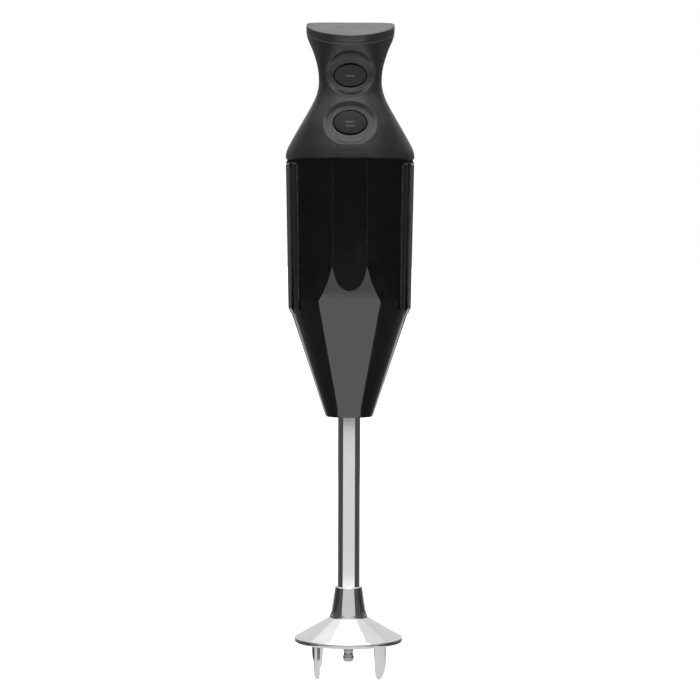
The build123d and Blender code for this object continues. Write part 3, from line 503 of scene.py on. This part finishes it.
def warped_angles(n, centre=-math.pi / 2, gain=1.6, width=math.radians(62)):
    """Angles round the section, closer together at the front."""
    u = np.linspace(-math.pi, math.pi, 4001)
    w = 1 + gain * np.exp(-(u / width) ** 2)
    cum = np.concatenate([[0], np.cumsum((w[1:] + w[:-1]) / 2)])
    return np.interp((np.arange(n) + 0.5) / n * cum[-1], cum, u) + centre


def slanted_ring(t, drop, inset=0.0):
    """Ring where the handle surface meets the slanted plane lying `drop` below the top."""
    z = np.full_like(t, 330.0)
    for _ in range(12):
        x, y = section_xy(z, t, inset)
        z = slant_z(y, drop)
    return np.stack([x, y, z], 1)


N_T = 420
T = warped_angles(N_T)
SPLIT_DROP = CAP_T
EDGE = 0.50


def sstep(x, a, b):
    u = np.clip((x - a) / (b - a), 0, 1)
    return u * u * (3 - 2 * u)


def handle_rows():
    """Rings of the outer skin, from the foot to the slanted top edge."""
    rows = []
    foot = 0.55
    for k in range(5):
        a = math.radians(90 * k / 4)
        z = np.full_like(T, SEAM_Z + foot * (1 - math.cos(a)) * 1.0)
        x, y = section_xy(z, T, foot * (1 - math.sin(a)))
        rows.append(np.stack([x, y, z], 1))
    z0 = SEAM_Z + foot
    top_lin = TOP_Z - CAP_T - EDGE
    steps = 208
    for k in range(1, steps + 1):
        zl = z0 + (top_lin - z0) * k / steps
        s = float(sstep(zl, 292.0, top_lin))
        z = np.full_like(T, zl)
        for _ in range(12):
            x, y = section_xy(z, T)
            z = zl - s * (CAP_BACK_Y - y) * math.tan(math.radians(TOP_SLANT))
        rows.append(np.stack([x, y, z], 1))
    for k in range(1, 5):
        a = math.radians(90 * k / 4)
        rows.append(slanted_ring(T, CAP_T + EDGE * (1 - math.sin(a)), EDGE * (1 - math.cos(a))))
    return rows


BTN_HI_Z, BTN_LO_Z = 310.4, 285.9
HOLE_HI, HOLE_LO = (8.7, 6.30), (8.9, 6.60)


def dish_depth(x, z):
    """Depth of the two round finger dishes below the loft."""
    d = np.zeros_like(x)
    for da, db, dz, hole, hz in ((12.9, 11.35, 311.3, HOLE_HI, BTN_HI_Z), (13.9, 11.5, 285.5, HOLE_LO, BTN_LO_Z)):
        rho = np.sqrt((x / da) ** 2 + ((z - dz) / db) ** 2)
        high = sstep((z - dz) / db, -0.2, 0.5)
        inner_edge = 0.72 + 0.11 * high
        u = np.clip((rho - inner_edge) / (1.02 - inner_edge), 0, 1)
        wall = 1 - u * u * (3 - 2 * u)
        bowl = np.clip(1 - rho ** 2, 0, 1)
        lip = np.exp(-((rho - 1.0) / 0.055) ** 2)
        hr = np.sqrt((x / hole[0]) ** 2 + ((z - hz) / hole[1]) ** 2)
        roll = 1 - sstep(hr, 0.99, 1.07)
        d = d + 0.80 * wall + 0.95 * bowl - 0.05 * lip + 0.16 * roll
    return d


def groove_y(x, z):
    """Front strip: the concave channel that runs down the housing."""
    d = 29.75 + 0.0182 * (z - 200.9)
    return -(d + 28.0) + np.sqrt(np.clip(28.0 ** 2 - x ** 2, 0, None))


def smooth_max(a, b, k):
    return 0.5 * (a + b + np.sqrt((a - b) ** 2 + k * k))


def grid_normals(P):
    """Outward normals of a ring grid (rows, n, 3)."""
    du = np.roll(P, -1, 1) - np.roll(P, 1, 1)
    dv = np.gradient(P, axis=0)
    nrm = np.cross(du, dv)
    nrm /= np.linalg.norm(nrm, axis=2, keepdims=True) + 1e-12
    return nrm


outer = np.stack(handle_rows())
nrm = grid_normals(outer)
front = outer[..., 1] < 0
depth = np.where(front, dish_depth(outer[..., 0], outer[..., 2]), 0.0)
outer = outer - nrm * depth[..., None]
gy = groove_y(outer[..., 0], outer[..., 2])
oz = outer[..., 2]
scoop = 0.35 * sstep(oz, 269.6, 273.6) + 0.045 * np.sin((oz - 270.4) * 2 * math.pi / 2.1) * sstep(oz, 269.6, 270.8)
gy = gy + scoop
near = front & (oz < 279.0) & (np.abs(outer[..., 0]) < 14)
gap = outer[..., 1] - gy
ridge = 0.11 * np.exp(-(gap / 0.32) ** 2) * (np.abs(outer[..., 0]) > 5.0)
fade = 1 - sstep(oz, 272.6, 275.4)
outer[..., 1] = np.where(near, outer[..., 1] + fade * (smooth_max(outer[..., 1], gy, 0.14) - ridge - outer[..., 1]), outer[..., 1])

inner_rows = [slanted_ring(T, CAP_T, 2.4)]
for k in range(1, 33):
    zl = (TOP_Z - CAP_T) + (SEAM_Z - (TOP_Z - CAP_T)) * k / 32
    s = float(sstep(zl, 292.0, TOP_Z - CAP_T))
    z = np.full_like(T, zl)
    for _ in range(12):
        x, y = section_xy(z, T, 2.4)
        z = zl - s * (CAP_BACK_Y - y) * math.tan(math.radians(TOP_SLANT))
    p = np.stack([x, y, z], 1)
    g_in = -(29.75 + 0.0182 * (p[:, 2] - 200.9) + 28.0) + np.sqrt(np.clip(30.0 ** 2 - p[:, 0] ** 2, 0, None))
    p[:, 1] = np.where((p[:, 1] < 0) & (p[:, 2] < 279.0) & (np.abs(p[:, 0]) < 16), np.maximum(p[:, 1], g_in), p[:, 1])
    inner_rows.append(p)
rings = np.concatenate([outer, np.stack(inner_rows)])
verts = rings.reshape(-1, 3) * MM
handle = make_object("handle_shell_skin", verts, ring_faces(len(rings), N_T, closed=True), mats["handle_grey"])
fix_normals(handle)


def prism_y(name, a, b, zc, y0, y1, n=160, profile=None):
    """Closed elliptic cylinder along Y; profile gives (scale a, scale b, y) steps instead."""
    steps = profile or [(a, b, y0), (a, b, y1)]
    vs = []
    for sa, sb, y in steps:
        for j in range(n):
            t = 2 * math.pi * j / n
            vs.append((sa * math.cos(t) * MM, y * MM, (zc + sb * math.sin(t)) * MM))
    fs = ring_faces(len(steps), n)
    fs.append(tuple(range(n)))
    fs.append(tuple(range((len(steps) - 1) * n, len(steps) * n)))
    ob = make_object(name, vs, fs, mats["handle_grey"])
    fix_normals(ob)
    return ob


for cutter in (
    prism_y("cut_hi", *HOLE_HI, BTN_HI_Z, -32.0, -8.0),
    prism_y("cut_lo", *HOLE_LO, BTN_LO_Z, -40.0, -14.0),
    prism_y("cut_gland", 0, 0, 323.4, 0, 0, n=96, profile=[(5.6, 5.6, 5.0), (5.6, 5.6, 11.4), (7.6, 7.6, 11.4), (7.6, 7.6, 20.0)]),
):
    apply_boolean(handle, cutter)
soften(handle.data, 38.0)
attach(handle, "body")
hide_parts("handle_shell")

# ---------------------------------------------------------------- top cap
CT = warped_angles(300, gain=0.8)
cap_rings = []


def cap_ring(drop, inset, shrink=1.0):
    p = slanted_ring(CT, drop, inset)
    if shrink != 1.0:
        c = np.array([0.0, -3.0])
        p[:, 0] = c[0] + (p[:, 0] - c[0]) * shrink
        p[:, 1] = c[1] + (p[:, 1] - c[1]) * shrink
        p[:, 2] = slant_z(p[:, 1], drop)
    return p


LOW_E = 0.40
TOP_E = 0.58 + 0.42 * sstep(np.sin(CT), 0.0, 0.8)
for s in (0.12, 0.4, 0.7, 0.9):
    cap_rings.append(cap_ring(CAP_T, LOW_E, s))
for k in range(4):
    a = math.radians(90 * k / 3)
    cap_rings.append(cap_ring(CAP_T - LOW_E * (1 - math.cos(a)), LOW_E * (1 - math.sin(a))))
for k in range(1, 8):
    cap_rings.append(cap_ring(CAP_T - LOW_E + (TOP_E - CAP_T + LOW_E) * k / 8, 0.0))
for k in range(0, 9):
    a = math.radians(90 * k / 8)
    cap_rings.append(cap_ring(TOP_E * (1 - math.sin(a)), TOP_E * (1 - math.cos(a))))
for s in (0.97, 0.92, 0.85, 0.75, 0.62, 0.48, 0.33, 0.18, 0.06):
    cap_rings.append(cap_ring(0.0, TOP_E, s))
cap_rings = np.stack(cap_rings)
vs = list(cap_rings.reshape(-1, 3) * MM)
fs = ring_faces(len(cap_rings), len(CT))
fs.append(tuple(range(len(CT))))
fs.append(tuple(range((len(cap_rings) - 1) * len(CT), len(cap_rings) * len(CT))))
cap = make_object("top_cap_skin", vs, fs, mats["cap_grey"], 50.0)
fix_normals(cap)
soften(cap.data, 50.0)
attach(cap, "body")
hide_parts("top_cap")

# ---------------------------------------------------------------- bell guard: spun bell with four rounded legs
BELL_TOP_Z, BELL_TOP_R, BELL_RIM_R, BELL_RIM_Z, BELL_SLOPE = 30.0, 10.0, 28.15, 17.3, 1.7
edge_z = BELL_TOP_Z - (BELL_RIM_R - 0.35 - BELL_TOP_R) / BELL_SLOPE
cone_n = (1.0, BELL_SLOPE)
profile = [(7.5, BELL_TOP_Z), (9.0, BELL_TOP_Z)]
for k in range(25):
    rr = BELL_TOP_R + (BELL_RIM_R - 0.50 - BELL_TOP_R) * k / 24
    profile.append((rr, BELL_TOP_Z - (rr - BELL_TOP_R) / BELL_SLOPE))
# rolled edge of the cone, a small undercut, then the full lip
for k in range(1, 8):
    a = math.radians(60 - 20 * k)
    profile.append((BELL_RIM_R - 0.32 + 0.26 * math.cos(a), edge_z - 0.12 + 0.26 * math.sin(a)))
profile += [(BELL_RIM_R - 0.30, edge_z - 0.44), (BELL_RIM_R - 0.10, edge_z - 0.56), (BELL_RIM_R - 0.04, edge_z - 0.70), (BELL_RIM_R, edge_z - 1.00)]
lip_r, lip_h = 1.15, 0.95
for k in range(1, 13):
    a = math.radians(90 * k / 12)
    profile.append((BELL_RIM_R - lip_r + lip_r * math.cos(a), BELL_RIM_Z + lip_h - lip_h * math.sin(a)))
profile += [(26.6, BELL_RIM_Z), (26.38, BELL_RIM_Z + 0.1), (26.3, BELL_RIM_Z + 0.35)]
in_z = BELL_TOP_Z - 1.04 - (26.3 - BELL_TOP_R) / BELL_SLOPE
for k in range(13):
    u = k / 12
    profile.append((26.3 + (9.76 - 26.3) * u, in_z + (29.1 - in_z) * u))
profile.append((7.5, 29.1))
B_N = 384
vs = []
for pr, pz in profile:
    for j in range(B_N):
        t = 2 * math.pi * j / B_N
        vs.append((pr * math.cos(t) * MM, pr * math.sin(t) * MM, pz * MM))
bell = make_object("bell_guard_skin", vs, ring_faces(len(profile), B_N, closed=True), mats["steel_polished"], 32.0)
fix_normals(bell)

HI = np.array([(0.0, 0.1), (0.3, 0.65), (1.5, 1.35), (3.7, 2.35), (6.2, 2.95), (9.0, 3.15), (22.6, 3.15)])
LO = np.array([(0.0, -0.7), (0.5, -1.35), (1.8, -1.95), (4.0, -2.35), (6.5, -2.55), (12.0, -2.85), (18.0, -3.15), (22.6, -3.3)])


def smooth_curve(table, z):
    xs = np.sqrt(table[:, 0])
    m = natural_spline(xs, table[:, 1])
    q = math.sqrt(max(z, 0.0))
    i = int(np.clip(np.searchsorted(xs, q, side="right") - 1, 0, len(xs) - 2))
    h = xs[i + 1] - xs[i]
    A = (xs[i + 1] - q) / h
    B = 1 - A
    return A * table[i, 1] + B * table[i + 1, 1] + ((A ** 3 - A) * m[i] + (B ** 3 - B) * m[i + 1]) * h * h / 6


def leg_mesh(k):
    """One leg: outline of the CAD leg with an oval section and a round tip; the top ends inside the cone's sheet."""
    levels = [0.0, 0.03, 0.1, 0.22, 0.4, 0.65, 1.0, 1.4, 1.9, 2.6, 3.4, 4.4, 5.6, 7.0, 8.6, 10.4, 12.4, 14.6, 16.6, 18.0, None]
    n = 56
    turn = math.radians(90 * k - 45)
    lean = math.radians(90 * k - 16.5)
    cx, cy = 22.8 * math.cos(turn), 22.8 * math.sin(turn)
    out = []
    for zl in levels:
        zz = 18.6 if zl is None else zl
        hi, lo = smooth_curve(HI, zz), smooth_curve(LO, zz)
        thick = 1.25 * (0.40 + 0.60 * math.sqrt(min(1.0, zz / 2.4)))
        for j in range(n):
            t = 2 * math.pi * j / n
            c, s = math.cos(t), math.sin(t)
            kk = (abs(c) ** 2.7 + abs(s) ** 2.7) ** (-1 / 2.7)
            u = (hi + lo) / 2 + (hi - lo) / 2 * c * kk
            v = thick * s * kk
            px = cx + u * math.cos(lean) - v * math.sin(lean)
            py = cy + u * math.sin(lean) + v * math.cos(lean)
            pz = zz if zl is not None else BELL_TOP_Z - 0.55 - (math.hypot(px, py) - BELL_TOP_R) / BELL_SLOPE
            out.append((px * MM, py * MM, pz * MM))
    fs = ring_faces(len(levels), n)
    fs.append(tuple(range(n)))
    fs.append(tuple(range((len(levels) - 1) * n, len(levels) * n)))
    ob = make_object("leg_%d" % k, out, fs, mats["steel_polished"], 40.0)
    fix_normals(ob)
    return ob


for k in range(4):
    apply_boolean(bell, leg_mesh(k), "UNION")
soften(bell.data, 32.0)
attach(bell, "body")
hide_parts("bell_guard")

# ---------------------------------------------------------------- button springs: round-wire coils in place of the CAD springs
def spring_piece(node, turns, wire=0.00022, seg=56, around=14):
    lo_c, hi_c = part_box(node)
    cx, cz = (lo_c[0] + hi_c[0]) / 2, (lo_c[2] + hi_c[2]) / 2
    radius = 0.0026
    y0, y1 = lo_c[1] + wire, hi_c[1] - wire
    count = turns * seg + 1
    out = []
    for i in range(count):
        t = 2 * math.pi * i / seg
        c, s = math.cos(t), math.sin(t)
        mid = Vector((cx + radius * c, y0 + (y1 - y0) * i / (count - 1), cz + radius * s))
        radial = Vector((c, 0.0, s))
        along = Vector((-s * radius, (y1 - y0) / (turns * 2 * math.pi), c * radius)).normalized()
        side_v = along.cross(radial).normalized()
        for j in range(around):
            a = 2 * math.pi * j / around
            out.append(mid + radial * (wire * math.cos(a)) + side_v * (wire * math.sin(a)))
    faces = ring_faces(count, around)
    faces.append(tuple(range(around)))
    faces.append(tuple(range((count - 1) * around, count * around)))
    ob = make_object(node + "_coil", out, faces, mats["steel_turned"], 50.0)
    fix_normals(ob)
    soften(ob.data, 50.0)
    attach(ob, "body")
    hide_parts(node)
    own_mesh(ob)
    return ob


spring_piece("button_spring_high", 4)
spring_piece("button_spring_low", 3)

for name, ob in nodes.items():
    soften(ob.data, 30.0)
for name in ("shaft_tube", "hub_sleeve", "spindle", "lower_bush", "upper_bush", "lip_seal", "seal_clip", "tube_clamp_ring"):
    nodes[name].visible_glossy = False

# ---------------------------------------------------------------- stage and light
world = bpy.data.worlds.new("studio")
scene.world = world
world.use_nodes = True
g = Graph(world.node_tree)
g.n.clear()
direction = g.new("ShaderNodeTexCoord").outputs["Generated"]
x, y, z = g.xyz(direction)
az = g.math("MULTIPLY", g.math("ABSOLUTE", g.math("ARCTAN2", x, g.math("MULTIPLY", y, -1.0))), 180 / math.pi)
el = g.math("MULTIPLY", g.math("ARCSINE", z), 180 / math.pi)
front_high = g.math("MULTIPLY", g.step(el, 5.0, 7.0), g.step(g.math("ADD", az, g.step(el, 12.0, 46.0, 0.0, 20.0)), 43.0, 49.0, 1.0, 0.0))
front_high = g.math("MULTIPLY", front_high, 0.68)
# long soft box overhead, along the viewing direction
up = g.math("MAXIMUM", z, 0.02)
across = g.math("ABSOLUTE", g.math("DIVIDE", x, up))
left = g.step(x, -0.02, 0.02, 1.0, 0.0)
canopy = g.lerp(left, g.step(across, 0.26, 1.5, 0.88, 0.66), g.step(across, 0.26, 1.5, 1.06, 0.74))
over = g.math("MULTIPLY", g.step(el, 30.0, 46.0), canopy)
lane = g.step(across, 0.21, 0.28, 1.0, 0.0)
reach = g.math("DIVIDE", y, up)
lane = g.math("MULTIPLY", lane, g.math("MULTIPLY", g.step(reach, -1.15, -0.95), g.step(reach, 0.85, 1.0, 1.0, 0.0)))
over = g.math("MAXIMUM", over, g.math("MULTIPLY", lane, 3.0))
back = g.step(g.math("ADD", az, g.math("MULTIPLY", el, 1.1)), 160.0, 180.0)
back = g.math("MULTIPLY", back, g.step(el, 45.0, 58.0, 0.76, 0.0))
side = g.math("ADD", g.step(el, 3.5, 6.5, 0.035, 0.088), g.math("MULTIPLY", g.step(az, 95.0, 150.0), 0.10))
rim_light = g.math("MULTIPLY", g.step(el, 3.5, 7.0), g.math("MULTIPLY", g.step(az, 112.0, 128.0), 0.32))
side = g.math("MAXIMUM", side, rim_light)
level = g.math("MAXIMUM", g.math("MAXIMUM", front_high, over), g.math("MAXIMUM", back, side))
seen = g.new("ShaderNodeLightPath").outputs["Is Camera Ray"]
bg_light = g.new("ShaderNodeBackground")
g.put(bg_light.inputs["Color"], g.vec(level, level, level))
bg_seen = g.new("ShaderNodeBackground")
bg_seen.inputs["Color"].default_value = (1.0, 1.0, 1.0, 1.0)
pick = g.new("ShaderNodeMixShader")
g.put(pick.inputs[0], seen)
g.l.new(bg_light.outputs[0], pick.inputs[1])
g.l.new(bg_seen.outputs[0], pick.inputs[2])
wout = g.new("ShaderNodeOutputWorld")
g.l.new(pick.outputs[0], wout.inputs["Surface"])


def plane(name, size, z, mat):
    s = size
    ob = make_object(name, [(-s, -s, z), (s, -s, z), (s, s, z), (-s, s, z)], [(0, 1, 2, 3)], mat)
    return ob


# the table the camera sees
m, g, sh, pos = material("table_white", specular=0.1)
tone = g.noise(pos, 3.0, 2.0)
g.put(sh.inputs["Base Color"], g.mix(tone, (0.58, 0.58, 0.58), (0.60, 0.60, 0.60)))
sh.inputs["Roughness"].default_value = 0.9
sh.inputs["Emission Color"].default_value = (1.0, 1.0, 1.0, 1.0)
sh.inputs["Emission Strength"].default_value = 0.85
table = plane("table", 30.0, 0.0, m)
table.visible_glossy = False
table.visible_diffuse = False
table.visible_shadow = False

# what the polished surfaces see of the table: bright in front of the object, dim at the sides
m = bpy.data.materials.new("table_reflected")
m.use_nodes = True
g = Graph(m.node_tree)
g.n.clear()
out = g.new("ShaderNodeOutputMaterial")
em = g.new("ShaderNodeEmission")
g.l.new(em.outputs[0], out.inputs["Surface"])
pos = g.new("ShaderNodeTexCoord").outputs["Object"]
x, y, z = g.xyz(pos)
az = g.math("MULTIPLY", g.math("ABSOLUTE", g.math("ARCTAN2", x, g.math("MULTIPLY", y, -1.0))), 180 / math.pi)
r = g.vmath("LENGTH", g.vec(x, y, 0.0))
patch = g.math("MULTIPLY", g.step(az, 62.0, 65.0, 1.0, 0.0), g.step(r, 1.7, 2.1, 1.0, 0.0))
tone = g.math("MULTIPLY", g.step(r, 0.15, 0.19, 0.72, 1.22), g.step(r, 0.33, 0.42, 1.0, 0.656))
patch = g.math("MULTIPLY", patch, tone)
close = g.math("MULTIPLY", g.step(r, 0.085, 0.105, 0.74, 0.0), g.step(az, 62.0, 84.0, 1.0, 0.0))
close = g.math("MAXIMUM", close, g.step(r, 0.036, 0.046, 0.74, 0.0))
rear = g.math("MULTIPLY", g.step(az, 160.0, 172.0), 0.8)
strip = g.math("MULTIPLY", g.step(az, 134.0, 146.0), g.math("MULTIPLY", g.step(r, 0.26, 0.34), g.step(r, 1.0, 1.3, 1.0, 0.0)))
rear = g.math("MAXIMUM", rear, g.math("MULTIPLY", strip, 0.65))
dim = g.math("ADD", 0.075, g.math("MULTIPLY", g.step(az, 100.0, 150.0), 0.06))
level = g.math("MAXIMUM", g.math("MAXIMUM", patch, rear), g.math("MAXIMUM", dim, close))
g.put(em.inputs["Color"], g.vec(level, level, level))
mirror = plane("table_reflected", 6.0, -0.0004, m)
mirror.visible_camera = False
mirror.visible_shadow = False
